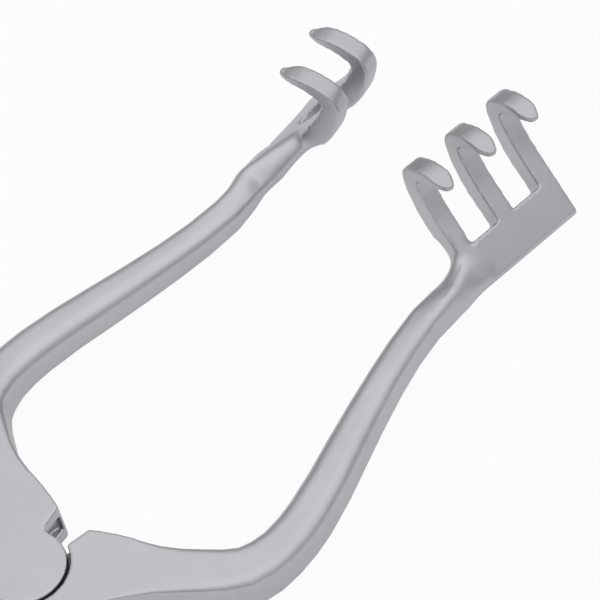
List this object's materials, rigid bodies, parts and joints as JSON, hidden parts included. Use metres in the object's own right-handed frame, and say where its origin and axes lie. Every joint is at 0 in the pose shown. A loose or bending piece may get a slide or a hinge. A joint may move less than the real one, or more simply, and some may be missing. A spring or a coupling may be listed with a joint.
{
  "type": "self retaining retractor",
  "caption": "Hinged surgical retractor whose two curved, blunt-pronged blades are spread by finger rings and held open by a curved ratchet bar.",
  "frame": {"origin": "joint axis at the flat underside of the joint", "axes": "+Z is the joint's axis, towards the side the prongs stand up on; +Y from the finger rings to the prongs; +X towards the lever with the longer row of prongs"},
  "size_m": [0.071, 0.1405, 0.0127],
  "materials": {
    "forged_steel": "satin stainless steel, finely ground",
    "polished_steel": "smooth stainless steel",
    "spring_steel": "tempered stainless strip"
  },
  "bodies": {
    "two_prong_side": {"two_prong_arm": "forged_steel", "joint_pin": "forged_steel", "ratchet_bar": "polished_steel", "rack_rivet": "forged_steel", "rack_stop_pin": "polished_steel"},
    "three_prong_side": {"three_prong_arm": "forged_steel", "lever_pivot_screw": "polished_steel", "return_spring": "spring_steel", "spring_screw": "polished_steel"},
    "release_lever": {"release_lever": "forged_steel"}
  },
  "joints": [
    {"name": "main_joint", "type": "hinge", "parent": "two_prong_side", "child": "three_prong_side", "pos_m": [0, 0, 0.0021], "axis": [0, 0, -1], "range_deg": [-18, 15]},
    {"name": "lever_pivot", "type": "hinge", "parent": "three_prong_side", "child": "release_lever", "pos_m": [0.01483, -0.0466, 0.0021], "axis": [0, 0, -1], "range_deg": [-4.5, 6], "stiffness_Nm_per_rad": 0.1, "springref_deg": -4.5, "deforming": ["return_spring"]}
  ]
}
